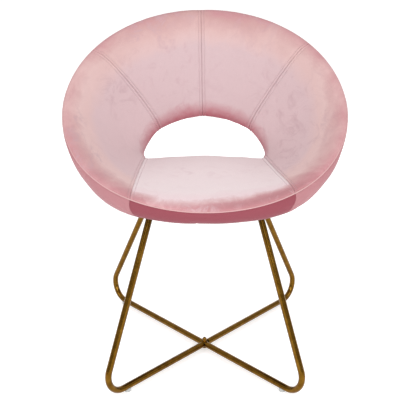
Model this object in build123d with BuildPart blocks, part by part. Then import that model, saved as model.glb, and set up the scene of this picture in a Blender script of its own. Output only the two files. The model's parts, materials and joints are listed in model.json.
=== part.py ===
"""Open-back bucket armchair: a padded ring shell on two crossed bent-tube leg frames.

All sizes are in millimetres. X runs to the chair's left-right (symmetric about X = 0), -Y is
the front, +Z is up, and the origin is on the floor under the middle of the chair. Left and
right are as seen from the front: left is -X.
"""
from build123d import *
import math
import os

os.makedirs("parts", exist_ok=True)

# ------------------------------------------------------------- driving dimensions: the shell
RIM_HALF_WIDTH = 325
RIM_HALF_DEPTH = 298
RIM_CENTRE_Y = -10
RIM_HEIGHT = 646
RIM_RISE = 0.605
RIM_SAG = 18

# The shell is a ring of stations from the seat's centre line (0) round to the back's centre
# line (9). Each station has the angle of its rim point round the rim ellipse, the point of the
# opening's edge, the padding in front of the seam line, the depth of the shell behind the seam
# line at the opening and at the rim, and how hollow the shell is between the two.
STATIONS = [
    (0, (0, 204, 436), 22, 15, 40, 0),
    (15, (84, 202, 434), 20, 14, 44, 0),
    (31, (158, 193, 438), 17, 21, 46, 2),
    (52, (164, 190, 452), 20, 26, 45, 6),
    (76, (160, 194, 468), 24, 28, 38, 10),
    (100, (151, 200, 485), 26, 28, 32, 12),
    (122, (138, 206, 502), 27, 28, 30, 12),
    (141, (115, 211, 520), 28, 28, 30, 10),
    (160, (60, 215, 545), 28, 28, 30, 8),
    (180, (0, 217, 559), 28, 28, 30, 8),
]
SEAT_SEAM = 2
WING_RIB = 5
BACK_SEAM = 7
BACK_CENTRE = 9
FRONT_POWER = 6
REAR_POWER = 10

COVER = 1.5
GLUE_GAP = 0.6
SEAM_EDGE = 0.99999
FASCIA_END = 0.8
HEM_END = 0.84
FRAME_ZONE = 17
ROD_RADIUS = 4
CENTRE_RUN = 30
RIM_ROD_INSET = 36
RIM_ROD_DEPTH = 11.5
HOLE_ROD_INSET = 32
HOLE_ROD_DEPTH = 7
RIM_WELD_GAP = 5.7
HOLE_WELD_GAP = 0.6
WELT_WIDTH = 2.6
WELT_GAP = 0.6
WEBBING_DEPTH = 1.85
WEBBING_WIDTH = 36
WEBBING_THICKNESS = 1.5
SEAT_WEBBING_PLACES = (0.22, 0.38, 0.54, 0.70)
SHELL_WEBBING_PLACES = (0.32, 0.5, 0.68)
PROFILE_STEPS = 10

# ------------------------------------------------------------- driving dimensions: seat board
BOARD_BOTTOM = 420
BOARD_THICKNESS = 12
BOARD_WIDTH = 296
BOARD_FRONT = -232
BOARD_REAR = 155
BOARD_CORNER = 60
DUST_THICKNESS = 1.2
DUST_MARGIN = 4
STRAP_WIDTH = 50
STRAP_THICKNESS = 3
STRAP_FLAT = 145
STRAP_REACH = 156
STRAP_GAP = 1
T_NUT_FLANGE = 9
T_NUT_FLANGE_THICKNESS = 1.5
T_NUT_BARREL = 4
T_NUT_LENGTH = 12
T_NUT_GAP = 0.1

# ------------------------------------------------------------- driving dimensions: leg frames
TUBE_RADIUS = 7.5
TUBE_WALL = 1.2
RUN_HEIGHT = 12.5
BEND_RADIUS = 45
FRONT_FOOT = (231, -292.5)
REAR_FOOT = (280, 287.5)
FRONT_TOP = (120, -166.5)
REAR_TOP = (117, 102.5)
LEG_TOP = 415
LEG_OVERRUN = 1.05
TRIM_SIZE = (600, 600)
LAP_LENGTH = 22
LAP_PLATE = 1.6
PLATE_LENGTH = 64
PLATE_WIDTH = 32
PLATE_THICKNESS = 3
PLATE_CORNER = 6
PLATE_HOLE_SPACING = 40

# ------------------------------------------------------------- driving dimensions: fasteners
BOLT_RADIUS = 3
BOLT_CLEARANCE = 3.3
BOLT_GAP = 0.1
BOLT_HEAD_RADIUS = 5.5
BOLT_HEAD_HEIGHT = 3.3
BOLT_SOCKET_RADIUS = 2.3
BOLT_SOCKET_DEPTH = 2
WASHER_RADIUS = 7
WASHER_THICKNESS = 1.2
NUT_RADIUS = 5.8
NUT_HEX_HEIGHT = 5
NUT_DOME_RADIUS = 4.7
NUT_BORE = 7.5

# ------------------------------------------------------------- driving dimensions: glides
GLIDE_RADIUS = 8
GLIDE_HEIGHT = 9
GLIDE_CHAMFER = 1
GLIDE_SETBACK = 80

# ------------------------------------------------------------- derived places
PLATE_TOP = BOARD_BOTTOM - DUST_THICKNESS
PLATE_BOTTOM = PLATE_TOP - PLATE_THICKNESS
BOARD_TOP = BOARD_BOTTOM + BOARD_THICKNESS
CROSSING_PART = FRONT_FOOT[0] / (FRONT_FOOT[0] + REAR_FOOT[0])
CROSSING_Y = FRONT_FOOT[1] + CROSSING_PART * (REAR_FOOT[1] - FRONT_FOOT[1])


def save(piece, name):
    """Label a finished piece and write it as one STEP file."""
    piece.part.label = name
    export_step(piece.part, f"parts/{name}.step")
    return piece.part


def save_mirrored(part, name):
    """Write the mirror image of a right-hand piece as its left-hand twin."""
    with BuildPart() as twin:
        mirror(part, about=Plane.YZ)
    return save(twin, name)


# ------------------------------------------------------------- the ring of stations
def rim_point(angle):
    """Point of the rim seam at an angle in degrees, 0 at the front and 180 at the back."""
    turn = math.radians(angle)
    y = RIM_CENTRE_Y - RIM_HALF_DEPTH * math.cos(turn)
    z = RIM_HEIGHT + RIM_RISE * y - RIM_SAG * math.sin(turn) ** 4
    return Vector(RIM_HALF_WIDTH * math.sin(turn), y, z)


def mirrored(point):
    """The same point on the other side of the chair."""
    return Vector(-point.X, point.Y, point.Z)


class Station:
    """One section plane of the shell, with its profile sizes."""

    def __init__(self, hole, rim, along, sizes):
        self.hole = hole
        self.span = (rim - hole).length
        chord = (rim - hole).normalized()
        ring = (along - chord * along.dot(chord)).normalized()
        self.plane = Plane(origin=hole, x_dir=chord, z_dir=ring * -1)
        self.front, self.rear_hole, self.rear_rim, self.hollow = sizes

    def middle(self, s):
        """Height of the seam surface over the chord at a distance s from the opening."""
        part = s / self.span
        return -self.hollow * 4 * part * (1 - part)

    def surface(self, q, inset, side):
        """Point of the outer (inset 0) or a deeper layer; q is -1 at the hole, 1 at the rim."""
        s = inset + (q + 1) / 2 * (self.span - 2 * inset)
        if side == "front":
            depth = (self.front - inset) * math.sqrt(max(0, 1 - abs(q) ** FRONT_POWER))
            return s, self.middle(s) + depth
        rear = self.rear_hole + (self.rear_rim - self.rear_hole) * s / self.span
        depth = (rear - inset) * math.sqrt(max(0, 1 - abs(q) ** REAR_POWER))
        return s, self.middle(s) - depth

    def arc(self, q_from, q_to, inset, side):
        """Points along the outer skin or a deeper layer, closer together near the edges."""
        turn_from = math.acos(-q_from)
        turn_to = math.acos(-q_to)
        turns = [turn_from + (turn_to - turn_from) * i / PROFILE_STEPS
                 for i in range(PROFILE_STEPS + 1)]
        return [self.surface(-math.cos(turn), inset, side) for turn in turns]


def make_stations():
    """All stations from one seat seam round the right-hand side, as Station objects."""
    rims = [rim_point(row[0]) for row in STATIONS]
    holes = [Vector(*row[1]) for row in STATIONS]
    mids = [(rim + hole) * 0.5 for rim, hole in zip(rims, holes)]
    mids = [mirrored(mids[1])] + mids + [mirrored(mids[-2])]
    right = [Station(holes[k], rims[k], mids[k + 2] - mids[k], STATIONS[k][2:])
             for k in range(len(STATIONS))]
    left = [Station(mirrored(holes[k]), mirrored(rims[k]),
                    mirrored(mids[k + 2] - mids[k]) * -1, STATIONS[k][2:])
            for k in range(len(STATIONS))]
    return right, left


RIGHT, LEFT = make_stations()
SEAT = LEFT[SEAT_SEAM:0:-1] + RIGHT[:SEAT_SEAM + 1]
WING = RIGHT[SEAT_SEAM:BACK_SEAM + 1]
BACK = RIGHT[BACK_SEAM:BACK_CENTRE + 1]
WHOLE_BACK = BACK + LEFT[BACK_CENTRE - 1:BACK_SEAM - 1:-1]


def skin_outline(station, side, q_from=-SEAM_EDGE, q_to=SEAM_EDGE):
    """Thin band between the outer surface and the cover's inner face."""
    outer = station.arc(q_from, q_to, 0, side)
    inner = station.arc(q_from, q_to, COVER, side)
    with BuildSketch() as outline:
        with BuildLine():
            Spline(*outer)
            Line(outer[-1], inner[-1])
            Spline(*reversed(inner))
            Line(inner[0], outer[0])
        make_face()
    return outline.sketch


def front_foam_outline(station):
    """Foam between the front cover and the seam surface."""
    inset = COVER + GLUE_GAP
    outer = station.arc(-1, 1, inset, "front")
    floor = [(s, station.middle(s)) for s, _ in outer[::2]]
    with BuildSketch() as outline:
        with BuildLine():
            Spline(*outer)
            Spline(*reversed(floor))
        make_face()
    return outline.sketch


def rear_pad_outline(station):
    """Padding between the frame zone and the outer cover."""
    inset = COVER + GLUE_GAP
    depth = min(station.rear_hole, station.rear_rim) - inset
    q_end = (1 - (FRAME_ZONE / depth) ** 2) ** (1 / REAR_POWER) * 0.99
    outer = station.arc(-q_end, q_end, inset, "rear")
    roof = [(s, station.middle(s) - FRAME_ZONE) for s, _ in outer[::2]]
    with BuildSketch() as outline:
        with BuildLine():
            Spline(*outer)
            Line(outer[-1], roof[-1])
            Spline(*reversed(roof))
            Line(roof[0], outer[0])
        make_face()
    return outline.sketch


def ring_loft(stations, outline, *args):
    """Loft one outline through a row of stations."""
    with BuildPart() as piece:
        for station in stations:
            with BuildSketch(station.plane):
                add(outline(station, *args))
        loft()
    return piece


def make_covers():
    """Sewn velvet covers: the inner panels, the outer panels and the two fascias."""
    save(ring_loft(SEAT, skin_outline, "front"), "seat_cover")
    save(ring_loft(SEAT, skin_outline, "rear", FASCIA_END, SEAM_EDGE), "front_fascia")
    save(ring_loft(SEAT, skin_outline, "rear", -SEAM_EDGE, -HEM_END), "rear_fascia")
    for row, inner, outer in ((WING, "wing_cover", "outer_wing_cover"),
                              (BACK, "back_cover", "outer_back_cover")):
        for side, name in (("front", inner), ("rear", outer)):
            right = save(ring_loft(row, skin_outline, side), f"{name}_right")
            save_mirrored(right, f"{name}_left")


def make_padding():
    """Foam under the inner covers and the thinner padding under the outer covers."""
    save(ring_loft(SEAT, front_foam_outline), "seat_foam")
    for row, place in ((WING, "wing"), (BACK, "back")):
        foam = save(ring_loft(row, front_foam_outline), f"{place}_foam_right")
        save_mirrored(foam, f"{place}_foam_left")
        pad = save(ring_loft(row, rear_pad_outline), f"{place}_pad_right")
        save_mirrored(pad, f"{place}_pad_left")


def bend_radii(points):
    """Largest smooth bend at each corner of a route: 0.45 of its shorter run."""
    radii = []
    for before, corner, after in zip(points, points[1:], points[2:]):
        into = corner - before
        out = after - corner
        half_turn = math.radians(into.get_angle(out)) / 2
        radii.append(0.45 * min(into.length, out.length) / math.tan(half_turn))
    return radii


def make_ring_rod(name, inset, depth, from_rim):
    """Bent steel rod that follows one half of the rim or of the opening."""
    points = []
    for station in RIGHT:
        s = station.span - inset if from_rim else inset
        local = Vector(s, station.middle(s) - depth, 0)
        points.append(station.plane.from_local_coords(local))
    front, rear = points[0], points[-1]
    straight = Vector(CENTRE_RUN, 0, 0)
    points = [front, front + straight] + points[1:-1] + [rear + straight, rear]
    with BuildPart() as rod:
        with BuildLine() as path:
            FilletPolyline(*points, radius=bend_radii(points))
        with BuildSketch(Plane(origin=front, z_dir=straight)):
            Circle(ROD_RADIUS)
        sweep()
    right = save(rod, f"{name}_right")
    save_mirrored(right, f"{name}_left")


def make_rim_welt():
    """Flat welt sewn into the rim seam, one length round each half of the rim."""
    with BuildPart() as welt:
        for station in RIGHT:
            with BuildSketch(station.plane):
                with Locations((station.span + WELT_WIDTH / 2 + WELT_GAP, 0)):
                    Rectangle(WELT_WIDTH, WELT_WIDTH)
        loft()
    right = save(welt, "rim_welt_right")
    save_mirrored(right, "rim_welt_left")


def make_rib(station, name):
    """Rod in one station plane, welded between the opening's rod and the rim's rod."""
    start = HOLE_ROD_INSET + ROD_RADIUS + HOLE_WELD_GAP
    stop = station.span - RIM_ROD_INSET - ROD_RADIUS - RIM_WELD_GAP
    stops = (start, (start + stop) / 2, stop)
    depths = (HOLE_ROD_DEPTH, (HOLE_ROD_DEPTH + RIM_ROD_DEPTH) / 2, RIM_ROD_DEPTH)
    points = [(s, station.middle(s) - depth) for s, depth in zip(stops, depths)]
    with BuildPart() as rib:
        with BuildLine(station.plane) as path:
            if station.hollow:
                ThreePointArc(*points)
            else:
                Line(points[0], points[-1])
        with BuildSketch(Plane(origin=path.line @ 0, z_dir=path.line % 0)):
            Circle(ROD_RADIUS)
        sweep()
    return save(rib, name)


def make_ribs():
    """Ribs at the seams and half-way round each wing."""
    make_rib(RIGHT[BACK_CENTRE], "rib_centre")
    for index, name in ((SEAT_SEAM, "rib_seat"), (WING_RIB, "rib_wing"),
                        (BACK_SEAM, "rib_back")):
        save_mirrored(make_rib(RIGHT[index], f"{name}_right"), f"{name}_left")


def make_webbing(row, places, name):
    """Flat elastic straps stretched from rib to rib, just behind the foam."""
    with BuildPart() as webbing:
        for place in places:
            for station in row:
                s = place * station.span
                width = WEBBING_WIDTH * station.span / row[-1].span
                with BuildSketch(station.plane):
                    with Locations((s, station.middle(s) - WEBBING_DEPTH)):
                        Rectangle(min(width, WEBBING_WIDTH), WEBBING_THICKNESS)
            loft()
    return save(webbing, name)


# ------------------------------------------------------------- seat board and its fittings
def plan_direction(front, rear):
    """Unit vector in plan from a leg frame's front foot to its rear foot."""
    return (Vector(*rear) - Vector(*front)).normalized()


# Each frame runs from a front foot on one side (-1 is left) to the rear foot on the other.
FRAME_SIDES = {"lower": -1, "upper": 1}


def frame_feet(side):
    """Front foot, rear foot, front top and rear top of a frame, in plan."""
    return ((side * FRONT_FOOT[0], FRONT_FOOT[1]), (-side * REAR_FOOT[0], REAR_FOOT[1]),
            (side * FRONT_TOP[0], FRONT_TOP[1]), (-side * REAR_TOP[0], REAR_TOP[1]))


def plate_places():
    """Name, centre and long direction of each welded mounting plate."""
    places = []
    for side in FRAME_SIDES.values():
        front, rear, front_top, rear_top = frame_feet(side)
        along = plan_direction(front, rear)
        across = Vector(-along.Y, along.X, 0)
        for end, top in (("front", front_top), ("rear", rear_top)):
            hand = "right" if top[0] > 0 else "left"
            places.append((f"mount_plate_{end}_{hand}", Vector(*top), across))
    return places


def bolt_places():
    """Plan positions of the eight bolts that hold the plates to the seat board."""
    half = PLATE_HOLE_SPACING / 2
    return [centre + across * offset for _, centre, across in plate_places()
            for offset in (-half, half)]


def make_drilled_board(name, bottom, thickness, margin, hole_radius):
    """Flat sheet with the board's outline, drilled for the eight bolts."""
    with BuildPart() as sheet:
        with BuildSketch(Plane.XY.offset(bottom)):
            with Locations((0, (BOARD_FRONT + BOARD_REAR) / 2)):
                RectangleRounded(BOARD_WIDTH + 2 * margin,
                                 BOARD_REAR - BOARD_FRONT + 2 * margin, BOARD_CORNER)
            with Locations(*bolt_places()):
                Circle(hole_radius, mode=Mode.SUBTRACT)
        extrude(amount=thickness)
    save(sheet, name)


def make_seat_strap(name, y):
    """Steel strap on the board, turned up at its ends to meet the seat ribs."""
    seam = RIGHT[SEAT_SEAM]
    rim_y = rim_point(STATIONS[SEAT_SEAM][0]).Y
    s = (seam.hole.Y - y) / (seam.hole.Y - rim_y) * seam.span
    rib = seam.plane.from_local_coords(Vector(s, seam.middle(s) - RIM_ROD_DEPTH, 0))
    end = rib.Z - ROD_RADIUS - STRAP_THICKNESS - STRAP_GAP
    under = [(-STRAP_FLAT, BOARD_TOP), (STRAP_FLAT, BOARD_TOP)]
    if end > BOARD_TOP:
        under = [(-STRAP_REACH, end), *under, (STRAP_REACH, end)]
    over = [(x, z + STRAP_THICKNESS) for x, z in reversed(under)]
    with BuildPart() as strap:
        with BuildSketch(Plane.XZ.offset(-y)):
            Polygon(*under, *over, align=None)
        extrude(amount=STRAP_WIDTH / 2, both=True)
        with BuildSketch(Plane.XY.offset(BOARD_TOP)):
            with Locations(*bolt_places()):
                Circle(T_NUT_BARREL + T_NUT_GAP)
        extrude(amount=STRAP_THICKNESS, mode=Mode.SUBTRACT)
    save(strap, name)


def make_t_nuts():
    """Eight T-nuts pressed down through the straps into the board."""
    flange_bottom = BOARD_TOP + STRAP_THICKNESS
    with BuildPart() as nuts:
        with BuildSketch(Plane.XY.offset(flange_bottom)):
            with Locations(*bolt_places()):
                Circle(T_NUT_FLANGE)
        extrude(amount=T_NUT_FLANGE_THICKNESS)
        with BuildSketch(Plane.XY.offset(flange_bottom - T_NUT_LENGTH)):
            with Locations(*bolt_places()):
                Circle(T_NUT_BARREL)
        extrude(amount=T_NUT_LENGTH)
        with BuildSketch(Plane.XY.offset(flange_bottom - T_NUT_LENGTH)):
            with Locations(*bolt_places()):
                Circle(BOLT_RADIUS + BOLT_GAP)
        extrude(amount=T_NUT_LENGTH + T_NUT_FLANGE_THICKNESS, mode=Mode.SUBTRACT)
    save(nuts, "t_nuts")


# ------------------------------------------------------------- leg frames
def make_tube_frame(name, side):
    """One bent tube: front leg, floor run and rear leg, pressed half flat at the crossing."""
    front, rear, front_top, rear_top = frame_feet(side)
    foot_front = Vector(*front, RUN_HEIGHT)
    foot_rear = Vector(*rear, RUN_HEIGHT)
    top_front = Vector(*front_top, LEG_TOP)
    top_rear = Vector(*rear_top, LEG_TOP)
    corners = [foot_front + (top_front - foot_front) * LEG_OVERRUN, foot_front,
               foot_rear, foot_rear + (top_rear - foot_rear) * LEG_OVERRUN]
    run = plan_direction(front, rear)
    lap = Plane(origin=(0, CROSSING_Y, RUN_HEIGHT), x_dir=run, z_dir=(0, 0, side))
    with BuildPart() as frame:
        with BuildLine() as path:
            FilletPolyline(*corners, radius=BEND_RADIUS)
        with BuildSketch(Plane(origin=path.line @ 0, z_dir=path.line % 0)):
            Circle(TUBE_RADIUS)
            Circle(TUBE_RADIUS - TUBE_WALL, mode=Mode.SUBTRACT)
        sweep()
        with BuildSketch(Plane.XY.offset(PLATE_BOTTOM)):
            Rectangle(*TRIM_SIZE)
        extrude(amount=TUBE_RADIUS * 4, mode=Mode.SUBTRACT)
        with BuildSketch(lap):
            Rectangle(LAP_LENGTH, TUBE_RADIUS * 2)
        extrude(amount=-TUBE_RADIUS, mode=Mode.SUBTRACT)
        with BuildSketch(lap):
            Rectangle(LAP_LENGTH + LAP_PLATE, TUBE_RADIUS * 2 - TUBE_WALL)
        extrude(amount=LAP_PLATE)
        with BuildSketch(Plane(origin=(0, CROSSING_Y, 0))):
            Circle(BOLT_CLEARANCE)
        extrude(amount=RUN_HEIGHT * 2, mode=Mode.SUBTRACT)
    save(frame, name)


def make_mount_plate(name, centre, across):
    """Plate welded on a leg's top, with a bolt hole at each end."""
    place = Plane(origin=(centre.X, centre.Y, PLATE_BOTTOM), x_dir=across)
    with BuildPart() as plate:
        with BuildSketch(place):
            RectangleRounded(PLATE_LENGTH, PLATE_WIDTH, PLATE_CORNER)
            with GridLocations(PLATE_HOLE_SPACING, 0, 2, 1):
                Circle(BOLT_CLEARANCE, mode=Mode.SUBTRACT)
        extrude(amount=PLATE_THICKNESS)
    save(plate, name)


def make_washers():
    """Washers under the heads of the eight plate bolts."""
    with BuildPart() as washers:
        with BuildSketch(Plane.XY.offset(PLATE_BOTTOM - WASHER_THICKNESS)):
            with Locations(*bolt_places()):
                Circle(WASHER_RADIUS)
                Circle(BOLT_CLEARANCE, mode=Mode.SUBTRACT)
        extrude(amount=WASHER_THICKNESS)
    save(washers, "plate_washers")


def make_bolts(name, places, head_top, shaft_top):
    """Pan-head bolts that point up, each with a hexagon socket."""
    with BuildPart() as bolts:
        with BuildSketch(Plane.XY.offset(head_top - BOLT_HEAD_HEIGHT)):
            with Locations(*places):
                Circle(BOLT_HEAD_RADIUS)
        extrude(amount=BOLT_HEAD_HEIGHT)
        with BuildSketch(Plane.XY.offset(head_top)):
            with Locations(*places):
                Circle(BOLT_RADIUS)
        extrude(amount=shaft_top - head_top)
        with BuildSketch(Plane.XY.offset(head_top - BOLT_HEAD_HEIGHT)):
            with Locations(*places):
                RegularPolygon(BOLT_SOCKET_RADIUS, 6)
        extrude(amount=BOLT_SOCKET_DEPTH, mode=Mode.SUBTRACT)
    save(bolts, name)


def make_crossing_fasteners():
    """Bolt, washer and domed nut that clamp the two frames together."""
    tube_top = RUN_HEIGHT + TUBE_RADIUS
    tube_bottom = RUN_HEIGHT - TUBE_RADIUS
    nut_bottom = tube_top + WASHER_THICKNESS
    make_bolts("crossing_bolt", [(0, CROSSING_Y)], tube_bottom, nut_bottom + NUT_BORE - 1)
    with BuildPart() as washer:
        with BuildSketch(Plane(origin=(0, CROSSING_Y, tube_top))):
            Circle(WASHER_RADIUS)
            Circle(BOLT_CLEARANCE, mode=Mode.SUBTRACT)
        extrude(amount=WASHER_THICKNESS)
    save(washer, "crossing_washer")
    with BuildPart() as nut:
        with BuildSketch(Plane(origin=(0, CROSSING_Y, nut_bottom))):
            RegularPolygon(NUT_RADIUS, 6)
        extrude(amount=NUT_HEX_HEIGHT)
        with Locations((0, CROSSING_Y, nut_bottom + NUT_HEX_HEIGHT)):
            Sphere(NUT_DOME_RADIUS)
        with BuildSketch(Plane(origin=(0, CROSSING_Y, nut_bottom - NUT_DOME_RADIUS))):
            Circle(NUT_RADIUS * 2)
        extrude(amount=NUT_DOME_RADIUS, mode=Mode.SUBTRACT)
        with BuildSketch(Plane(origin=(0, CROSSING_Y, nut_bottom))):
            Circle(BOLT_RADIUS + BOLT_GAP)
        extrude(amount=NUT_BORE, mode=Mode.SUBTRACT)
    save(nut, "acorn_nut")


def make_glides():
    """Round clear glides clipped under each floor run, near its two bends."""
    for side in FRAME_SIDES.values():
        front, rear, _, _ = frame_feet(side)
        run = plan_direction(front, rear)
        for end, foot, step in (("front", front, run), ("rear", rear, run * -1)):
            place = Vector(*foot) + step * GLIDE_SETBACK
            hand = "right" if place.X > 0 else "left"
            with BuildPart() as glide:
                with BuildSketch(Plane(origin=place)):
                    Circle(GLIDE_RADIUS)
                extrude(amount=GLIDE_HEIGHT)
                chamfer(glide.faces().sort_by(Axis.Z)[0].edges(), GLIDE_CHAMFER)
                tube = Plane(origin=(place.X, place.Y, RUN_HEIGHT), z_dir=run)
                with BuildSketch(tube):
                    Circle(TUBE_RADIUS)
                extrude(amount=GLIDE_RADIUS * 2, both=True, mode=Mode.SUBTRACT)
            save(glide, f"glide_{end}_{hand}")


make_covers()
make_padding()
make_ring_rod("rim_rod", RIM_ROD_INSET, RIM_ROD_DEPTH, True)
make_ring_rod("hole_rod", HOLE_ROD_INSET, HOLE_ROD_DEPTH, False)
make_rim_welt()
make_ribs()
make_webbing(SEAT, SEAT_WEBBING_PLACES, "seat_webbing")
make_webbing(WHOLE_BACK, SHELL_WEBBING_PLACES, "back_webbing")
save_mirrored(make_webbing(WING, SHELL_WEBBING_PLACES, "wing_webbing_right"),
              "wing_webbing_left")
make_drilled_board("seat_board", BOARD_BOTTOM, BOARD_THICKNESS, 0, T_NUT_BARREL + T_NUT_GAP)
make_drilled_board("dust_cover", PLATE_TOP, DUST_THICKNESS, DUST_MARGIN, BOLT_CLEARANCE)
make_seat_strap("seat_strap_front", FRONT_TOP[1])
make_seat_strap("seat_strap_rear", REAR_TOP[1])
make_t_nuts()
for frame, side in FRAME_SIDES.items():
    make_tube_frame(f"tube_frame_{frame}", side)
for name, centre, across in plate_places():
    make_mount_plate(name, centre, across)
make_washers()
make_bolts("plate_bolts", bolt_places(), PLATE_BOTTOM - WASHER_THICKNESS,
           BOARD_TOP + STRAP_THICKNESS + T_NUT_FLANGE_THICKNESS)
make_crossing_fasteners()
make_glides()
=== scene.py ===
"""Looks of the open-back bucket armchair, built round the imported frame.

The velvet shell is a ring of sewn panels. Ring position v runs from the seat's centre (0) round
the right-hand side to the back's centre (9) and on round the left-hand side to the seat (18).
Profile position q runs from the opening's edge (-1) to the rim seam (1). Sizes are millimetres
until a mesh is made; -Y is the front and +Z is up.
"""
import json
import math

import bpy
import numpy as np
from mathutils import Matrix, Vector, noise


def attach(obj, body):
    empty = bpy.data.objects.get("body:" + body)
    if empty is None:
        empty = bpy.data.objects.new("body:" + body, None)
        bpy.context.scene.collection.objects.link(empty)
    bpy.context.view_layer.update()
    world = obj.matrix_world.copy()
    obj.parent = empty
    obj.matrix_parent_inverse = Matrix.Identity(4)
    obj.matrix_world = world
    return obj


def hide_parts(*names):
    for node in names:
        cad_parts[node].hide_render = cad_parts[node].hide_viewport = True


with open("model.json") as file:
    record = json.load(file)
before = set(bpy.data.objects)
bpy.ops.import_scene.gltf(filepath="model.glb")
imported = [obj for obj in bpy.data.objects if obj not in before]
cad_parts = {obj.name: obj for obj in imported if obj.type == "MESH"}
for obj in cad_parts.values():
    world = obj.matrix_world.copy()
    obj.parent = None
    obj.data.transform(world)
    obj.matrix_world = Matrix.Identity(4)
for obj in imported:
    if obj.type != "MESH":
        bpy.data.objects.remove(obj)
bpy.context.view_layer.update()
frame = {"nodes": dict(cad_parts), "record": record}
MM = 0.001

# --------------------------------------------------------------- shell, rounder behind than the CAD's
RIM_HALF_WIDTH = 330
RIM_HALF_DEPTH = 298
RIM_CENTRE_Y = -10
RIM_HEIGHT = 646
RIM_RISE = 0.605
RIM_SAG = 24

# Angle round the rim, opening's edge point, padding in front of the seam line, depth behind it
# at the opening and at the rim, how hollow the shell is between them, and how square its back is.
STATIONS = [
    (0, (0, 204, 436), 22, 15, 40, 0, 10),
    (15, (84, 202, 434), 20, 14, 44, 0, 10),
    (31, (158, 193, 438), 17, 21, 47, 2, 10),
    (52, (164, 190, 452), 20, 26, 35, 6, 5),
    (76, (160, 194, 468), 24, 28, 24, 10, 2),
    (100, (151, 200, 485), 26, 28, 26, 12, 2),
    (122, (138, 206, 502), 27, 28, 26, 12, 2.4),
    (141, (115, 211, 520), 28, 28, 28, 10, 3),
    (160, (61, 215, 543), 28, 28, 28, 8, 3),
    (180, (0, 217, 552), 28, 28, 28, 8, 3),
]
FRONT_POWER = 6
HALF_RING = 9
RING = 2 * HALF_RING
FULL_TURN = 360

# Columns of the values kept for each ring position.
HOLE = slice(0, 3)
ANGLE = 3
SIZES = range(4, 9)
NORMAL = slice(9, 12)

# Where the seams lie: ring position at the opening, at the rim, and how late they turn between.
# The cover is sewn a little round to the right at the front, so the two sides differ.
SEAMS = {
    "seat_left": (-2.0, -1.86, 1.0),
    "seat_right": (2.03, 2.2, 0.5),
    "back_right": (6.8, 6.25, 1.0),
    "centre": (9.08, 9.08, 1.0),
    "back_left": (11.2, 12.0, 1.0),
    "seat_left_again": (16.0, 16.14, 1.0),
}
COVER_THICKNESS = 2.2
STITCH_OFFSET = 7.0
STITCH_PITCH = 5.0
STITCH_LENGTH = 3.6
STITCH_RADIUS = 0.42


def fade_in(values, start, end):
    """0 up to the start, 1 from the end on, and straight between; the end may be the lower one."""
    return np.clip((values - start) / (end - start), 0, 1)


def unit(vectors):
    """Vectors scaled to length 1 along the last axis."""
    return vectors / np.linalg.norm(vectors, axis=-1, keepdims=True)


def dot(a, b):
    """Row-by-row dot product, kept as a column."""
    return np.sum(a * b, axis=-1, keepdims=True)


def smooth_slopes(values):
    """Slopes for rows of numbers round the ring that never overshoot."""
    step = np.roll(values, -1, axis=0) - values
    before = np.roll(step, 1, axis=0)
    same = step * before > 0
    return np.where(same, 2 * step * before / np.where(same, step + before, 1), 0)


def curve_slopes(points):
    """Tangents of a rounded curve through points round the ring, gentler beside a short step."""
    step = np.roll(points, -1, axis=0) - points
    before = np.roll(step, 1, axis=0)
    length = np.linalg.norm(step, axis=-1, keepdims=True)
    length_before = np.roll(length, 1, axis=0)
    direction = unit(before / length_before * length + step / length * length_before)
    return direction * 2 * length * length_before / (length + length_before)


def rim_points(angle):
    """Points of the rim seam at angles in degrees, 0 at the front and 180 at the back."""
    turn = np.radians(angle)
    y = RIM_CENTRE_Y - RIM_HALF_DEPTH * np.cos(turn)
    z = RIM_HEIGHT + RIM_RISE * y - RIM_SAG * np.sin(turn) ** 2 * (1 + np.cos(turn)) / 2
    return np.stack([RIM_HALF_WIDTH * np.sin(turn), y, z], axis=-1)


def make_ring():
    """Values of every station round the ring and their interpolation slopes."""
    half = np.array([[*hole, angle, *sizes] for angle, hole, *sizes in STATIONS], float)
    other = half[-2:0:-1].copy()
    other[:, 0] *= -1
    other[:, ANGLE] = FULL_TURN - other[:, ANGLE]
    whole = np.concatenate([half, other])
    rim = rim_points(whole[:, ANGLE])
    mids = (whole[:, HOLE] + rim) / 2
    ring = np.roll(mids, -1, axis=0) - np.roll(mids, 1, axis=0)
    chord = unit(rim - whole[:, HOLE])
    normal = unit(np.cross(chord, unit(ring - chord * dot(ring, chord))))
    values = np.concatenate([whole, normal], axis=1)
    slopes = np.concatenate([curve_slopes(values[:, HOLE]), smooth_slopes(values[:, ANGLE:])], axis=1)
    gap = np.diff(np.append(values[:, ANGLE], FULL_TURN))
    slopes[:, ANGLE] = 2 * gap * np.roll(gap, 1) / (gap + np.roll(gap, 1))
    return values, slopes


RING_VALUES, RING_SLOPES = make_ring()


def ring_at(v):
    """Smooth station values at ring positions v."""
    k = np.floor(v).astype(int)
    w = (v - k)[..., None]
    turns = np.zeros(RING_VALUES.shape[1])
    turns[ANGLE] = FULL_TURN
    p0, p1 = RING_VALUES[k % RING], RING_VALUES[(k + 1) % RING]
    p1 = p1 + turns * ((k + 1) % RING == 0)[..., None]
    m0, m1 = RING_SLOPES[k % RING], RING_SLOPES[(k + 1) % RING]
    return (p0 * (1 + 2 * w) * (1 - w) ** 2 + m0 * w * (1 - w) ** 2
            + p1 * w * w * (3 - 2 * w) + m1 * w * w * (w - 1))


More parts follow.
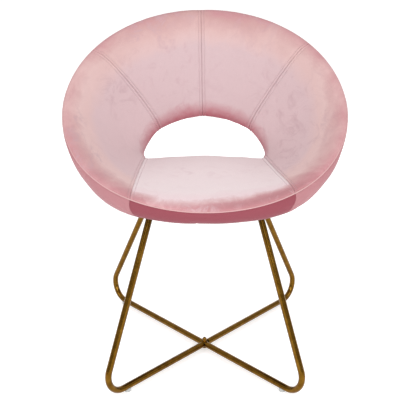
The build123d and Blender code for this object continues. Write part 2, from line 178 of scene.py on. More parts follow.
def shell(v, q, side, inset=0.0):
    """Points of the shell's front or rear surface, or of a layer at a depth inside it."""
    row = ring_at(v)
    hole, rim = row[..., HOLE], rim_points(row[..., ANGLE])
    front, rear_hole, rear_rim, hollow, rear_power = (row[..., i:i + 1] for i in SIZES)
    span = np.linalg.norm(rim - hole, axis=-1, keepdims=True)
    chord = (rim - hole) / span
    normal = unit(row[..., NORMAL] - chord * dot(row[..., NORMAL], chord))
    q = q[..., None]
    s = inset + (q + 1) / 2 * (span - 2 * inset)
    middle = -hollow * 4 * s / span * (1 - s / span)
    if side == "front":
        depth = (front - inset) * np.sqrt(np.maximum(0, 1 - np.abs(q) ** FRONT_POWER))
    else:
        rear = rear_hole + (rear_rim - rear_hole) * s / span
        depth = -(rear - inset) * np.sqrt(np.maximum(0, 1 - np.abs(q) ** rear_power))
    return hole + chord * s + normal * (middle + depth)


# --------------------------------------------------------------- meshes
def make_object(name, points, faces):
    """Smooth-shaded mesh object from points in millimetres."""
    mesh = bpy.data.meshes.new(name)
    mesh.from_pydata((np.asarray(points) * MM).tolist(), [], faces)
    mesh.polygons.foreach_set("use_smooth", [True] * len(mesh.polygons))
    mesh.update()
    piece = bpy.data.objects.new(name, mesh)
    bpy.context.collection.objects.link(piece)
    return piece


def grid_faces(rows, cols, flipped):
    """Quads of a grid of points stored row by row."""
    faces = []
    for i in range(rows - 1):
        for j in range(cols - 1):
            a = i * cols + j
            quad = (a, a + 1, a + cols + 1, a + cols)
            faces.append(quad[::-1] if flipped else quad)
    return faces


def seam_at(seam, q):
    """Ring position of a seam at profile positions q."""
    at_hole, at_rim, lateness = seam
    return at_hole + (at_rim - at_hole) * ((q + 1) / 2) ** lateness


# Distances from a seam where a cover has columns of points, closest beside the groove and stitches.
SEAM_DETAIL = (0, 0.8, 1.7, 2.8, 4.2, 5.4, 6.2, 7.0, 7.8, 8.6, 10, 12, 15, 19)
# A panel narrower than this many times the last of them has them drawn together.
FULL_DETAIL_WIDTH = 2.6
SEAM_SAMPLES = 161


def column_places(width, middle_count):
    """Distances across a panel: close together beside the two seams, even between them."""
    edge = np.array(SEAM_DETAIL, float)
    edge = edge * min(1, width / (FULL_DETAIL_WIDTH * edge[-1]))
    middle = np.linspace(edge[-1], width - edge[-1], middle_count + 2)[1:-1]
    return np.concatenate([edge, middle, width - edge[::-1]])


def panel_grid(seam_a, seam_b, side, q_from, q_to, rows, step):
    """Ring and profile positions of a panel's points, and their distances to its two seams."""
    turn = np.linspace(math.acos(-q_from), math.acos(-q_to), rows)
    q = -np.cos(turn)
    v_a, v_b = seam_at(seam_a, q), seam_at(seam_b, q)
    v = v_a[:, None] + (v_b - v_a)[:, None] * np.linspace(0, 1, SEAM_SAMPLES)
    points = shell(v, np.repeat(q[:, None], v.shape[1], axis=1), side)
    lengths = np.linalg.norm(np.diff(points, axis=1), axis=-1)
    along = np.concatenate([np.zeros((rows, 1)), np.cumsum(lengths, axis=1)], axis=1)
    middle_count = max(3, int(np.median(along[:, -1]) / step))
    places = np.array([column_places(row[-1], middle_count) for row in along])
    grid_v = np.array([np.interp(*row) for row in zip(places, along, v)])
    grid_q = np.repeat(q[:, None], grid_v.shape[1], axis=1)
    return grid_v, grid_q, places, along[:, -1:] - places


def grid_normals(points):
    """Unit normals of a grid of points, one for each point."""
    down = np.gradient(points, axis=0)
    across = np.gradient(points, axis=1)
    normals = np.cross(across, down)
    size = np.linalg.norm(normals, axis=-1, keepdims=True)
    return normals / np.where(size > 0, size, 1)


def seam_profile(distance):
    """How far the cover stands proud at a distance from a double-stitched seam."""
    groove = -1.3 * np.exp(-(distance / 1.2) ** 2)
    strip = 0.5 * np.exp(-((distance - 3.6) / 2.0) ** 2)
    stitch = -0.9 * np.exp(-((distance - STITCH_OFFSET) / 1.1) ** 2)
    swell = 1.4 * (1 - np.exp(-np.maximum(0, distance - STITCH_OFFSET) / 14))
    return groove + strip + stitch + swell


def plain_seam_profile(distance):
    """How far the cover stands proud at a distance from a plain seam."""
    return -1.4 * np.exp(-(distance / 1.6) ** 2)


def waves(points, size, shift):
    """Smooth noise from -1 to 1 at points: about how large its features are, and its own shift."""
    flat = points.reshape(-1, 3) / size + shift
    values = [noise.noise(Vector(point)) for point in flat.tolist()]
    return np.array(values).reshape(points.shape[:-1])


def save_attribute(piece, name, values):
    """One number for each point, for the material to read."""
    layer = piece.data.attributes.new(name, "FLOAT", "POINT")
    layer.data.foreach_set("value", np.asarray(values, float).ravel())


def thicken(piece):
    """Turn a skin into a thin closed solid, grown inwards."""
    solid = piece.modifiers.new("cloth_thickness", "SOLIDIFY")
    solid.thickness = COVER_THICKNESS * MM
    solid.offset = -1


# Height of each kind of unevenness in a cover, and how far it reaches from a seam or from the rim.
RIM_DIP = 1.6
RIM_DIP_REACH = 2.2
SEAM_PUCKER = 0.45
SEAM_PUCKER_REACH = 6
RIM_PUCKER = 0.5
RIM_PUCKER_REACH = 12
SLACK = 1.1
FINE_SLACK = 0.45
CREASE = 0.8
# A crease lies where its noise is near zero: this is how near.
CREASE_WIDTH = 0.07
# Gathers beside a seam: how closely they follow each other, where they start and how far they reach.
GATHER_PITCH = 2.6
GATHER_START = 5
GATHER_REACH = 26
# How far from a seam, and from the rim, a cover is as slack as it gets.
TAUT_BY_SEAM = 25
TAUT_BY_RIM = 15


def cover_relief(base, along, from_seam, profile, gather):
    """How far a cover stands proud: seam relief, puckers, gathers, creases and slow unevenness."""
    to_rim = along[-1:] - along
    rim_dip = -RIM_DIP * np.exp(-(to_rim / RIM_DIP_REACH) ** 2)
    by_stitches = np.exp(-np.abs(from_seam - STITCH_OFFSET) / SEAM_PUCKER_REACH)
    pucker = waves(base, 9, 3.0) * by_stitches * SEAM_PUCKER
    rim_pucker = waves(base, 13, 7.0) * np.exp(-to_rim / RIM_PUCKER_REACH) * RIM_PUCKER
    ripple = np.sin(along / GATHER_PITCH + 3 * waves(base, 40, 17.0))
    by_seam = np.exp(-from_seam / GATHER_REACH) * (1 - np.exp(-from_seam / GATHER_START))
    gathers = ripple * by_seam * gather
    slack = waves(base, 75, 0.0) * SLACK + waves(base, 30, 11.0) * FINE_SLACK
    creases = -CREASE * np.exp(-(waves(base * (1, 1, 0.55), 42, 23.0) / CREASE_WIDTH) ** 2)
    creases *= np.clip(waves(base, 95, 31.0) * 3, 0, 1)
    loose = fade_in(from_seam, 0, TAUT_BY_SEAM) * fade_in(to_rim, 0, TAUT_BY_RIM)
    return profile(from_seam) + rim_dip + pucker + rim_pucker + gathers + (slack + creases) * loose


# Ring positions, counted from the seat either way, where the painted shade low down and the painted
# shade on the back start and are full.
LOW_START, LOW_FULL = 4.6, 2.2
HIGH_START, HIGH_FULL = 5.0, 8.0
# How far from the middle of the profile the rim's painted shade and the opening's painted shade start.
RIM_START = 0.1
HOLE_START = 0.35
# How far a seam's tone reaches from it.
SEAM_REACH = 4


def save_shade_and_seam_masks(piece, v, q, base, from_seam):
    """Save how high each point lies, and how near it is to the rim, the opening and a seam.

    The height, rim and opening masks place painted shade: the back's darker colour, the rim's darker
    bands and the opening's deep edge. The rim's painted shade is a little stronger low down, and more
    so on the right-hand side.
    """
    from_seat = np.minimum(v % RING, -v % RING)
    # Painted shade: the rim's darkening is made stronger on the right-hand side, and low down by the
    # low fade.
    right_hand = np.clip(0.65 + base[..., 0] / 500, 0.3, 1)
    low = fade_in(from_seat, LOW_START, LOW_FULL) * right_hand
    save_attribute(piece, "high", fade_in(from_seat, HIGH_START, HIGH_FULL))
    save_attribute(piece, "rim", fade_in(q, RIM_START, 1) * (0.84 + 0.22 * low))
    save_attribute(piece, "hole", fade_in(-q, HOLE_START, 1))
    save_attribute(piece, "seam", np.exp(-(from_seam / SEAM_REACH) ** 2))


def skin_panel(name, seams, side, rows, step, q_range=(-1, 1), profile=seam_profile, gather=0.25):
    """One sewn cover panel, as a thin solid, and its points, normals and distances to its seams."""
    v, q, from_a, from_b = panel_grid(*seams, side, *q_range, rows, step)
    base = shell(v, q, side)
    normals = grid_normals(base)
    outward = np.median(np.sum((base - shell(v, q, side, 8.0)) * normals, axis=-1))
    normals = normals * np.sign(outward)
    steps = np.linalg.norm(np.diff(base, axis=0), axis=-1)
    along = np.concatenate([np.zeros((1, base.shape[1])), np.cumsum(steps, axis=0)])
    from_seam = np.minimum(from_a, from_b)
    height = cover_relief(base, along, from_seam, profile, gather)
    points = base + normals * height[..., None]
    piece = make_object(name, points.reshape(-1, 3), grid_faces(*base.shape[:2], outward < 0))
    save_shade_and_seam_masks(piece, v, q, base, from_seam)
    thicken(piece)
    return piece, (points, normals, from_a, from_b)


# --------------------------------------------------------------- materials
def node_tree(name):
    """A new material's nodes, links and main shader."""
    material = bpy.data.materials.new(name)
    material.use_nodes = True
    tree = material.node_tree
    return material, tree, tree.nodes["Principled BSDF"]


def add_node(tree, kind, **settings):
    """A node with named settings; a setting that is a socket's name sets that socket."""
    node = tree.nodes.new(kind)
    for key, value in settings.items():
        if key in node.inputs.keys():
            node.inputs[key].default_value = value
        else:
            setattr(node, key, value)
    return node


def noise_node(tree, scale, detail, roughness=0.5, stretch=(1, 1, 1), distortion=0.0):
    """Noise over the object's own coordinates."""
    coordinates = add_node(tree, "ShaderNodeTexCoord")
    mapping = add_node(tree, "ShaderNodeMapping")
    mapping.inputs["Scale"].default_value = stretch
    texture = add_node(tree, "ShaderNodeTexNoise")
    texture.inputs["Scale"].default_value = scale
    texture.inputs["Detail"].default_value = detail
    texture.inputs["Roughness"].default_value = roughness
    texture.inputs["Distortion"].default_value = distortion
    tree.links.new(coordinates.outputs["Object"], mapping.inputs["Vector"])
    tree.links.new(mapping.outputs["Vector"], texture.inputs["Vector"])
    return texture.outputs["Fac"]


def ramp(tree, value, stops):
    """Colours along a value."""
    node = add_node(tree, "ShaderNodeValToRGB")
    elements = node.color_ramp.elements
    while len(elements) < len(stops):
        elements.new(0.5)
    for element, (position, colour) in zip(elements, stops):
        element.position = position
        element.color = (*colour, 1)
    tree.links.new(value, node.inputs["Fac"])
    return node.outputs["Color"]


def mix_colour(tree, factor, a, b, blend="MIX"):
    """Mix of two colours, each a socket or a plain colour."""
    node = add_node(tree, "ShaderNodeMix", data_type="RGBA", blend_type=blend)
    for value, socket in ((factor, node.inputs[0]), (a, node.inputs[6]), (b, node.inputs[7])):
        if isinstance(value, bpy.types.NodeSocket):
            tree.links.new(value, socket)
        elif isinstance(value, (int, float)):
            socket.default_value = value
        else:
            socket.default_value = (*value, 1)
    return node.outputs[2]


def value_range(tree, value, low, high, new_low, new_high):
    """A value moved from one range to another, and kept inside it."""
    node = add_node(tree, "ShaderNodeMapRange")
    for socket, number in zip(list(node.inputs)[1:5], (low, high, new_low, new_high)):
        socket.default_value = number
    tree.links.new(value, node.inputs[0])
    return node.outputs[0]


def bump(tree, shader, layers):
    """Surface relief from (height socket, strength, distance) layers."""
    normal = None
    for height, strength, distance in layers:
        node = add_node(tree, "ShaderNodeBump", Strength=strength, Distance=distance)
        tree.links.new(height, node.inputs["Height"])
        if normal:
            tree.links.new(normal, node.inputs["Normal"])
        normal = node.outputs["Normal"]
    tree.links.new(normal, shader.inputs["Normal"])


def attribute(tree, name):
    """A number saved on the mesh."""
    return add_node(tree, "ShaderNodeAttribute", attribute_name=name).outputs["Fac"]


def shift_by_noise(tree, value, unevenness, reach):
    """A value moved up and down by noise, as far as a reach each way."""
    node = add_node(tree, "ShaderNodeMath", operation="MULTIPLY_ADD")
    tree.links.new(value_range(tree, unevenness, 0, 1, -1, 1), node.inputs[0])
    node.inputs[1].default_value = reach
    tree.links.new(value, node.inputs[2])
    return node.outputs[0]


def multiply(tree, first, second):
    """The product of two values."""
    node = add_node(tree, "ShaderNodeMath", operation="MULTIPLY")
    tree.links.new(first, node.inputs[0])
    tree.links.new(second, node.inputs[1])
    return node.outputs[0]


def velvet(name, body_stops, hole_colour, hole_reach, crushed_colour, high_stops=None,
           brushing=0.26):
    """Short-pile velvet: the fabric's colour with bands of painted shade towards the rim and the
    opening, and brushed and crushed patches.
    """
    material, tree, shader = node_tree(name)
    brushed = noise_node(tree, 7, 5, 0.62, (1, 1, 0.7), 0.8)
    patches = noise_node(tree, 24, 6, 0.72, (1, 0.6, 1), 1.2)
    where = noise_node(tree, 5, 2)
    pile = noise_node(tree, 900, 2, 0.6)
    # The rim mask, moved by the real brushed and patchy tone, picks colours along the ramp: painted
    # shade, darker towards the rolled rim.
    rim_shade_and_brushing = shift_by_noise(tree, attribute(tree, "rim"), brushed, brushing)
    rim_shade_and_brushing = shift_by_noise(tree, rim_shade_and_brushing, patches, 0.11)
    body = ramp(tree, rim_shade_and_brushing, body_stops)
    # Painted shade: on the back, a darker copy of the ramp is mixed in by the height mask.
    if high_stops:
        body = mix_colour(tree, attribute(tree, "high"), body, ramp(tree, rim_shade_and_brushing, high_stops))
    crushed = multiply(tree, value_range(tree, patches, 0.5, 0.68, 0, 0.8),
                       value_range(tree, where, 0.45, 0.62, 0.1, 1))
    body = mix_colour(tree, crushed, body, crushed_colour)
    # Painted shade: the opening's edge turns to the deep hole colour.
    hole = shift_by_noise(tree, attribute(tree, "hole"), patches, 0.2)
    body = mix_colour(tree, value_range(tree, hole, 1 - hole_reach, 1, 0, 1), body, hole_colour)
    body = mix_colour(tree, value_range(tree, attribute(tree, "seam"), 0, 1, 0, 0.12), body,
                      crushed_colour)
    fibres = value_range(tree, pile, 0.3, 0.7, 0.94, 1.04)
    shade = add_node(tree, "ShaderNodeCombineColor")
    for socket in shade.inputs[:3]:
        tree.links.new(fibres, socket)
    body = mix_colour(tree, 1.0, body, shade.outputs[0], "MULTIPLY")
    tree.links.new(body, shader.inputs["Base Color"])
    tree.links.new(value_range(tree, brushed, 0.3, 0.7, 0.75, 0.6), shader.inputs["Roughness"])
    shader.inputs["Sheen Weight"].default_value = 0.12
    shader.inputs["Sheen Roughness"].default_value = 0.4
    shader.inputs["Sheen Tint"].default_value = (1.0, 0.88, 0.9, 1)
    shader.inputs["Specular IOR Level"].default_value = 0.2
    bump(tree, shader, [(patches, 0.3, 0.0012), (pile, 0.3, 0.0004)])
    return material


def metal(name, dark, light, roughness, metallic=1.0):
    """Plated or painted metal with slow tone changes and a fine, uneven finish."""
    material, tree, shader = node_tree(name)
    tone = noise_node(tree, 40, 4, 0.6)
    grain = noise_node(tree, 400, 3, 0.6)
    body = ramp(tree, tone, [(0.35, dark), (0.65, light)])
    tree.links.new(body, shader.inputs["Base Color"])
    tree.links.new(value_range(tree, grain, 0.3, 0.7, roughness * 0.8, roughness * 1.25),
                   shader.inputs["Roughness"])
    shader.inputs["Metallic"].default_value = metallic
    bump(tree, shader, [(grain, 0.06, 0.0002)])
    return material


def antique_gold(name):
    """Gold plating, darkened by painted shade towards the tops of the legs under the seat."""
    material, tree, shader = node_tree(name)
    tone = noise_node(tree, 60, 4, 0.65)
    grain = noise_node(tree, 500, 3, 0.6)
    split = add_node(tree, "ShaderNodeSeparateXYZ")
    tree.links.new(add_node(tree, "ShaderNodeTexCoord").outputs["Object"], split.inputs[0])
    body = ramp(tree, tone, [(0.3, (0.115, 0.052, 0.005)), (0.7, (0.215, 0.108, 0.014))])
    # Painted shadow under the seat: from 0.33 m up, the gold is mixed towards near black.
    high = value_range(tree, split.outputs["Z"], 0.33, 0.405, 0, 0.8)
    body = mix_colour(tree, high, body, (0.02, 0.009, 0.002))
    tree.links.new(body, shader.inputs["Base Color"])
    tree.links.new(value_range(tree, grain, 0.3, 0.7, 0.14, 0.26), shader.inputs["Roughness"])
    shader.inputs["Metallic"].default_value = 1.0
    bump(tree, shader, [(grain, 0.06, 0.0002)])
    return material


def cloth(name, dark, light, pitch, roughness=0.9):
    """Coarse woven or felted cloth: crossed threads with uneven tone."""
    material, tree, shader = node_tree(name)
    coordinates = add_node(tree, "ShaderNodeTexCoord").outputs["Object"]
    threads = []
    for direction in ("X", "Y"):
        wave = add_node(tree, "ShaderNodeTexWave", wave_type="BANDS", bands_direction=direction)
        wave.inputs["Scale"].default_value = pitch
        wave.inputs["Distortion"].default_value = 1.2
        wave.inputs["Detail"].default_value = 2
        tree.links.new(coordinates, wave.inputs["Vector"])
        threads.append(wave.outputs["Fac"])
    crossed = multiply(tree, *threads)
    fuzz = noise_node(tree, 300, 4, 0.7)
    body = mix_colour(tree, fuzz, dark, light)
    body = mix_colour(tree, crossed, body, light)
    tree.links.new(body, shader.inputs["Base Color"])
    shader.inputs["Roughness"].default_value = roughness
    bump(tree, shader, [(crossed, 0.5, 0.0005), (fuzz, 0.4, 0.0005)])
    return material


def plywood(name):
    """Pale plywood with long grain."""
    material, tree, shader = node_tree(name)
    grain = noise_node(tree, 30, 6, 0.65, (0.15, 2.5, 2.5), 1.2)
    pores = noise_node(tree, 260, 3, 0.6, (0.1, 2, 2))
    body = ramp(tree, grain, [(0.3, (0.42, 0.26, 0.13)), (0.7, (0.70, 0.52, 0.32))])
    body = mix_colour(tree, value_range(tree, pores, 0.55, 0.75, 0, 0.4), body, (0.3, 0.18, 0.09))
    tree.links.new(body, shader.inputs["Base Color"])
    shader.inputs["Roughness"].default_value = 0.6
    bump(tree, shader, [(grain, 0.2, 0.0004)])
    return material


def clear_plastic(name):
    """Slightly milky clear plastic with fine scuffs."""
    material, tree, shader = node_tree(name)
    scuffs = noise_node(tree, 500, 4, 0.7)
    tree.links.new(ramp(tree, scuffs, [(0.3, (0.40, 0.41, 0.40)), (0.7, (0.60, 0.61, 0.60))]),
                   shader.inputs["Base Color"])
    tree.links.new(value_range(tree, scuffs, 0.3, 0.7, 0.12, 0.35), shader.inputs["Roughness"])
    shader.inputs["Transmission Weight"].default_value = 0.2
    shader.inputs["IOR"].default_value = 1.46
    bump(tree, shader, [(scuffs, 0.1, 0.0002)])
    return material


LILAC = (0.61, 0.46, 0.475)
BEIGE = (0.655, 0.47, 0.455)
DUSKY_PINK = (0.54, 0.325, 0.325)
ROSE = (0.47, 0.23, 0.245)
MULBERRY = (0.46, 0.145, 0.18)
DEEP = (0.215, 0.044, 0.06)
SEAT_PAINTED_LIGHT = (0.73, 0.63, 0.64)
WINE = (0.41, 0.185, 0.20)
# The shell's ramp: the fabric's pale colour in the middle, then painted shade darkening towards the
# rim, where the cover rolls away from the light.
SHELL_STOPS = [(0.2, LILAC), (0.45, BEIGE), (0.6, BEIGE), (0.8, DUSKY_PINK), (0.93, ROSE), (1, WINE)]
# Painted shade: a darker copy of the ramp for the back.
BACK_STOPS = [(0.2, (0.55, 0.41, 0.425)), (0.35, (0.585, 0.415, 0.41)), (0.5, (0.56, 0.37, 0.36)),
              (0.72, (0.48, 0.28, 0.275)), (0.84, ROSE)]
# Painted light: the seat's paler colour where it faces the light from above, then painted shade at its
# front roll.
SEAT_STOPS = [(0.6, SEAT_PAINTED_LIGHT), (0.79, (0.71, 0.57, 0.59)), (0.87, (0.585, 0.38, 0.39)), (0.93, ROSE),
              (0.98, WINE)]
# Painted shade: a darker copy for the outer walls and the rear fascia, which face away from the light.
OUTER_STOPS = [(0.3, (0.45, 0.245, 0.255)), (0.8, (0.38, 0.17, 0.185))]
# Painted shade: a much darker copy for the front fascia, which faces down, away from the light.
LOW_STOPS = [(0.3, DEEP), (0.9, (0.24, 0.055, 0.073))]
WELT_STOPS = [(0.3, DUSKY_PINK), (0.8, (0.60, 0.40, 0.40))]

# A material for each slot, three more velvets for the shell, and the thread. Each velvet's hole colour
# is painted shade at the opening's edge; the seat's velvet is a copy with painted light, and the outer
# and low velvets are copies with painted shade.
LOOKS = {
    "velvet": velvet("velvet", SHELL_STOPS, (0.43, 0.13, 0.16), 0.45, (0.49, 0.335, 0.36),
                     BACK_STOPS),
    "velvet_seat": velvet("velvet_seat", SEAT_STOPS, ROSE, 0.25, (0.66, 0.54, 0.56), brushing=0.13),
    "velvet_outer": velvet("velvet_outer", OUTER_STOPS, MULBERRY, 0.3, ROSE),
    "velvet_low": velvet("velvet_low", LOW_STOPS, DEEP, 0.3, DEEP),
    "welt": velvet("welt_velvet", WELT_STOPS, DUSKY_PINK, 0.2, DUSKY_PINK),
    "thread": cloth("sewing_thread", (0.40, 0.27, 0.295), (0.52, 0.375, 0.40), 900, 0.7),
    "frame_steel": metal("black_powder_coat", (0.012, 0.012, 0.014), (0.03, 0.03, 0.032), 0.55,
                         metallic=0.0),
    "gold_metal": antique_gold("antique_gold"),
    "zinc_steel": metal("zinc_plate", (0.50, 0.50, 0.47), (0.66, 0.66, 0.64), 0.35),
    "dust_cloth": cloth("black_lining", (0.008, 0.008, 0.009), (0.03, 0.03, 0.032), 500),
    "webbing": cloth("elastic_webbing", (0.05, 0.05, 0.055), (0.16, 0.16, 0.17), 320),
    "plywood": plywood("birch_plywood"),
    "clear_plastic": clear_plastic("clear_glide"),
}


def dress(piece, look):
    """Give a piece its material."""
    piece.data.materials.clear()
    piece.data.materials.append(LOOKS[look])


def place(piece, look, replaced=()):
    """Ride a new piece on the chair, hide the parts it stands for and give it its material."""
    dress(piece, look)
    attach(piece, "root")
    if replaced:
        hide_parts(*replaced)


# --------------------------------------------------------------- velvet covers
COVER_STEP = 4.0
BAND_STEP = 5.0
OUTER_ROWS = 110
BAND_ROWS = 40

# Each inner panel's seams, rows of points, look, and the cover and foam it stands for.
PANELS = {
    "seat": (("seat_left", "seat_right"), 128, "velvet_seat", ("seat_cover", "seat_foam")),
    "wing_right": (("seat_right", "back_right"), 120, "velvet",
                   ("wing_cover_right", "wing_foam_right")),
    "back_right": (("back_right", "centre"), 96, "velvet",
                   ("back_cover_right", "back_foam_right")),
    "back_left": (("centre", "back_left"), 96, "velvet",
                  ("back_cover_left", "back_foam_left")),
    "wing_left": (("back_left", "seat_left_again"), 120, "velvet",
                  ("wing_cover_left", "wing_foam_left")),
}
grids = {}
for panel, (seams, rows, look, replaced) in PANELS.items():
    ends = [SEAMS[seam] for seam in seams]
    cover, grids[panel] = skin_panel(f"{panel}_panel", ends, "front", rows, COVER_STEP)
    place(cover, look, replaced)

# The front fascia's end seams, which turn late, and the profile position of its inner edge.
FASCIA_LEFT = (-1.5, -1.86, 14.0)
FASCIA_RIGHT = (1.7, 2.2, 14.0)
FASCIA_LEFT_AGAIN = (16.5, 16.14, 14.0)
FASCIA_INNER = 0.72
# The rear fascia's reach round the ring, either way from the seat's centre, and where its profile ends.
HEM_HALF_WIDTH = 2
HEM_END = -0.8
# Ring position of the seam between an outer wing panel and an outer back panel.
OUTER_SEAM = 6.9


def straight_seam(v):
    """A seam that keeps one ring position from the opening to the rim."""
    return v, v, 1.0


OUTER_PANELS = {
    ("wing", "right"): (FASCIA_RIGHT, straight_seam(OUTER_SEAM)),
    ("back", "right"): (straight_seam(OUTER_SEAM), straight_seam(HALF_RING)),
    ("back", "left"): (straight_seam(HALF_RING), straight_seam(RING - OUTER_SEAM)),
    ("wing", "left"): (straight_seam(RING - OUTER_SEAM), FASCIA_LEFT_AGAIN),
}
for (region, hand), seams in OUTER_PANELS.items():
    cover, _ = skin_panel(f"outer_{region}_{hand}_panel", seams, "rear", OUTER_ROWS, COVER_STEP,
                          profile=plain_seam_profile, gather=1.0)
    place(cover, "velvet_outer",
          (f"outer_{region}_cover_{hand}", f"{region}_pad_{hand}"))

fascia, _ = skin_panel("front_fascia_band", (FASCIA_LEFT, FASCIA_RIGHT), "rear", BAND_ROWS,
                       BAND_STEP, (FASCIA_INNER, 1), plain_seam_profile)
place(fascia, "velvet_low", ("front_fascia",))
hem_seams = (straight_seam(-HEM_HALF_WIDTH), straight_seam(HEM_HALF_WIDTH))
hem, _ = skin_panel("rear_fascia_band", hem_seams, "rear", BAND_ROWS, BAND_STEP, (-1, HEM_END),
                    plain_seam_profile)
place(hem, "velvet_outer", ("rear_fascia",))


# --------------------------------------------------------------- welt and stitches
WELT_RADIUS = 1.3
WELT_SIDES = 10
WELT_SPOTS = 420
WELT_SUNK = 0.6
STITCH_SIDES = 6
STITCH_RINGS = 5
# A stitch's rise at its middle, its depth at its ends, and its ends' size beside its middle's.
STITCH_ARCH = 0.45
STITCH_SUNK = 0.15
STITCH_TIP = 0.35


def tube_faces(rings, sides, first=0):
    """Faces of a tube, closed at both ends, whose points are stored ring by ring."""
    faces = []
    for i in range(rings - 1):
        for j in range(sides):
            a, b = first + i * sides + j, first + i * sides + (j + 1) % sides
            faces.append((a, b, b + sides, a + sides))
    faces.append(tuple(first + j for j in range(sides))[::-1])
    faces.append(tuple(first + (rings - 1) * sides + j for j in range(sides)))
    return faces


def welt_cord(name, path):
    """Round cord along a path of points in millimetres."""
    ahead = unit(np.gradient(path, axis=0))
    side_way = unit(np.cross(ahead, np.array([0, 0, 1.0])))
    up = np.cross(side_way, ahead)
    turns = np.linspace(0, 2 * math.pi, WELT_SIDES, endpoint=False)
    lines = [path + WELT_RADIUS * (math.cos(t) * side_way + math.sin(t) * up) for t in turns]
    points = np.stack(lines, axis=1).reshape(-1, 3)
    return make_object(name, points, tube_faces(len(path), WELT_SIDES))


def rim_line(v_from, v_to):
    """Points along the rim seam, sunk a little into the cover."""
    v = np.linspace(v_from, v_to, WELT_SPOTS)
    rim = shell(v, np.ones_like(v), "front")
    inner = shell(v, np.ones_like(v), "front", 4.0)
    return rim - unit(rim - inner) * WELT_SUNK


for hand, v_from, v_to in (("right", 0, HALF_RING), ("left", HALF_RING, RING)):
    welt = welt_cord(f"rim_welt_cord_{hand}", rim_line(v_from, v_to))
    for name in ("rim", "hole", "seam", "high"):
        save_attribute(welt, name, np.zeros(len(welt.data.vertices)))
    place(welt, "welt", (f"rim_welt_{hand}",))


def stitch_row(line, normals):
    """Capsule-shaped stitches along a line on the cover."""
    steps = np.linalg.norm(np.diff(line, axis=0), axis=-1)
    along = np.concatenate([[0], np.cumsum(steps)])
    count = int(along[-1] / STITCH_PITCH)
    points, faces = [], []
    for k in range(1, count):
        parts = []
        for end in np.linspace(-0.5, 0.5, STITCH_RINGS):
            at = k * STITCH_PITCH + end * STITCH_LENGTH
            spot = np.array([np.interp(at, along, line[:, i]) for i in range(3)])
            lift = np.array([np.interp(at, along, normals[:, i]) for i in range(3)])
            parts.append((spot, lift, 1 - (2 * end) ** 2))
        direction = unit(parts[-1][0] - parts[0][0])
        faces.extend(tube_faces(STITCH_RINGS, STITCH_SIDES, len(points)))
        for spot, lift, arch in parts:
            across = unit(np.cross(direction, lift))
            size = STITCH_RADIUS * (STITCH_TIP + (1 - STITCH_TIP) * arch)
            centre = spot + lift * (STITCH_ARCH * arch - STITCH_SUNK)
            for j in range(STITCH_SIDES):
                turn = 2 * math.pi * j / STITCH_SIDES
                points.append(centre + size * (math.cos(turn) * across + math.sin(turn) * lift))
    return points, faces


def stitch_panel(panel):
    """The two topstitch rows that run along a panel's seams."""
    points, normals, from_a, from_b = grids[panel]
    all_points, all_faces = [], []
    for distance in (from_a, from_b):
        column = int(np.argmin(np.abs(distance[distance.shape[0] // 2] - STITCH_OFFSET)))
        new_points, new_faces = stitch_row(points[:, column], normals[:, column])
        base = len(all_points)
        all_points.extend(new_points)
        all_faces.extend(tuple(base + i for i in face) for face in new_faces)
    stitches = make_object(f"{panel}_stitches", all_points, all_faces)
    place(stitches, "thread")


for panel in PANELS:
    stitch_panel(panel)

# --------------------------------------------------------------- the other nodes keep the CAD's shape
for row in frame["record"]["subparts"]:
    node, slot = row["node"], row["material_slot"]
    if slot in LOOKS and slot not in ("velvet", "welt"):
        target = frame["nodes"][node]
        for material_slot in target.material_slots:
            material_slot.material = LOOKS[slot]

# --------------------------------------------------------------- stage, light and camera
FLOOR_SIZE = 60
HORIZON = 0.42
OVERHEAD = 0.88
CAMERA_PLACE = (-0.0115, -1.7695, 0.956)
CAMERA_DOWN = 17.8
CAMERA_LENS = 68.4
SENSOR_WIDTH = 36
FLOOR_GLOW = 0.35
AIM = (0, 0, 0.55)


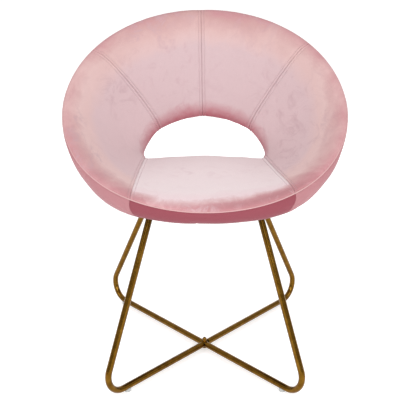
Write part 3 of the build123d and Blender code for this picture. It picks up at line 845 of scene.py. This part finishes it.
def make_stage():
    """Plain pale floor, wide enough to reach the horizon."""
    mesh = bpy.data.meshes.new("floor")
    half = FLOOR_SIZE / 2
    corners = [(-half, -half, 0), (half, -half, 0), (half, half, 0), (-half, half, 0)]
    mesh.from_pydata(corners, [], [(0, 1, 2, 3)])
    floor = bpy.data.objects.new("floor", mesh)
    bpy.context.collection.objects.link(floor)
    material, tree, shader = node_tree("pale_floor")
    tone = noise_node(tree, 2, 3)
    tree.links.new(ramp(tree, tone, [(0.3, (0.93, 0.93, 0.93)), (0.7, (0.95, 0.95, 0.95))]),
                   shader.inputs["Base Color"])
    shader.inputs["Roughness"].default_value = 0.9
    shader.inputs["Emission Color"].default_value = (1, 1, 1, 1)
    shader.inputs["Emission Strength"].default_value = FLOOR_GLOW
    mesh.materials.append(material)


def area_light(name, spot, target, size, power):
    """Square soft white light that points at a target."""
    data = bpy.data.lights.new(name, "AREA")
    data.size = size
    data.energy = power
    light = bpy.data.objects.new(name, data)
    light.location = spot
    light.rotation_euler = (Vector(target) - Vector(spot)).to_track_quat("-Z", "Y").to_euler()
    bpy.context.collection.objects.link(light)


def make_light():
    """Soft studio: a sky brighter overhead, a key in front, and dim lights at the sides and rear."""
    world = bpy.data.worlds.new("studio")
    world.use_nodes = True
    tree = world.node_tree
    direction = add_node(tree, "ShaderNodeTexCoord").outputs["Generated"]
    split = add_node(tree, "ShaderNodeSeparateXYZ")
    tree.links.new(direction, split.inputs[0])
    strength = value_range(tree, split.outputs["Z"], 0.0, 0.8, HORIZON, OVERHEAD)
    background = tree.nodes["Background"]
    background.inputs["Color"].default_value = (1, 1, 1, 1)
    tree.links.new(strength, background.inputs["Strength"])
    bpy.context.scene.world = world
    area_light("key", (0.1, -2.9, 1.8), AIM, 1.5, 50)
    area_light("side_right", (1.9, -1.0, 1.5), AIM, 1.0, 9)
    area_light("side_left", (-1.9, -1.0, 1.5), AIM, 1.0, 9)
    area_light("rear", (0.4, 2.8, 0.5), (0, 0, 0.5), 1.5, 9)
    bpy.context.scene.view_settings.view_transform = "Standard"


def make_camera():
    """Camera at the usual catalogue view: from the front, a little above."""
    data = bpy.data.cameras.new("camera")
    data.lens = CAMERA_LENS
    data.sensor_width = SENSOR_WIDTH
    camera = bpy.data.objects.new("camera", data)
    camera.location = CAMERA_PLACE
    camera.rotation_euler = (math.radians(90 - CAMERA_DOWN), 0, 0)
    bpy.context.collection.objects.link(camera)
    bpy.context.scene.camera = camera


make_stage()
make_light()
make_camera()
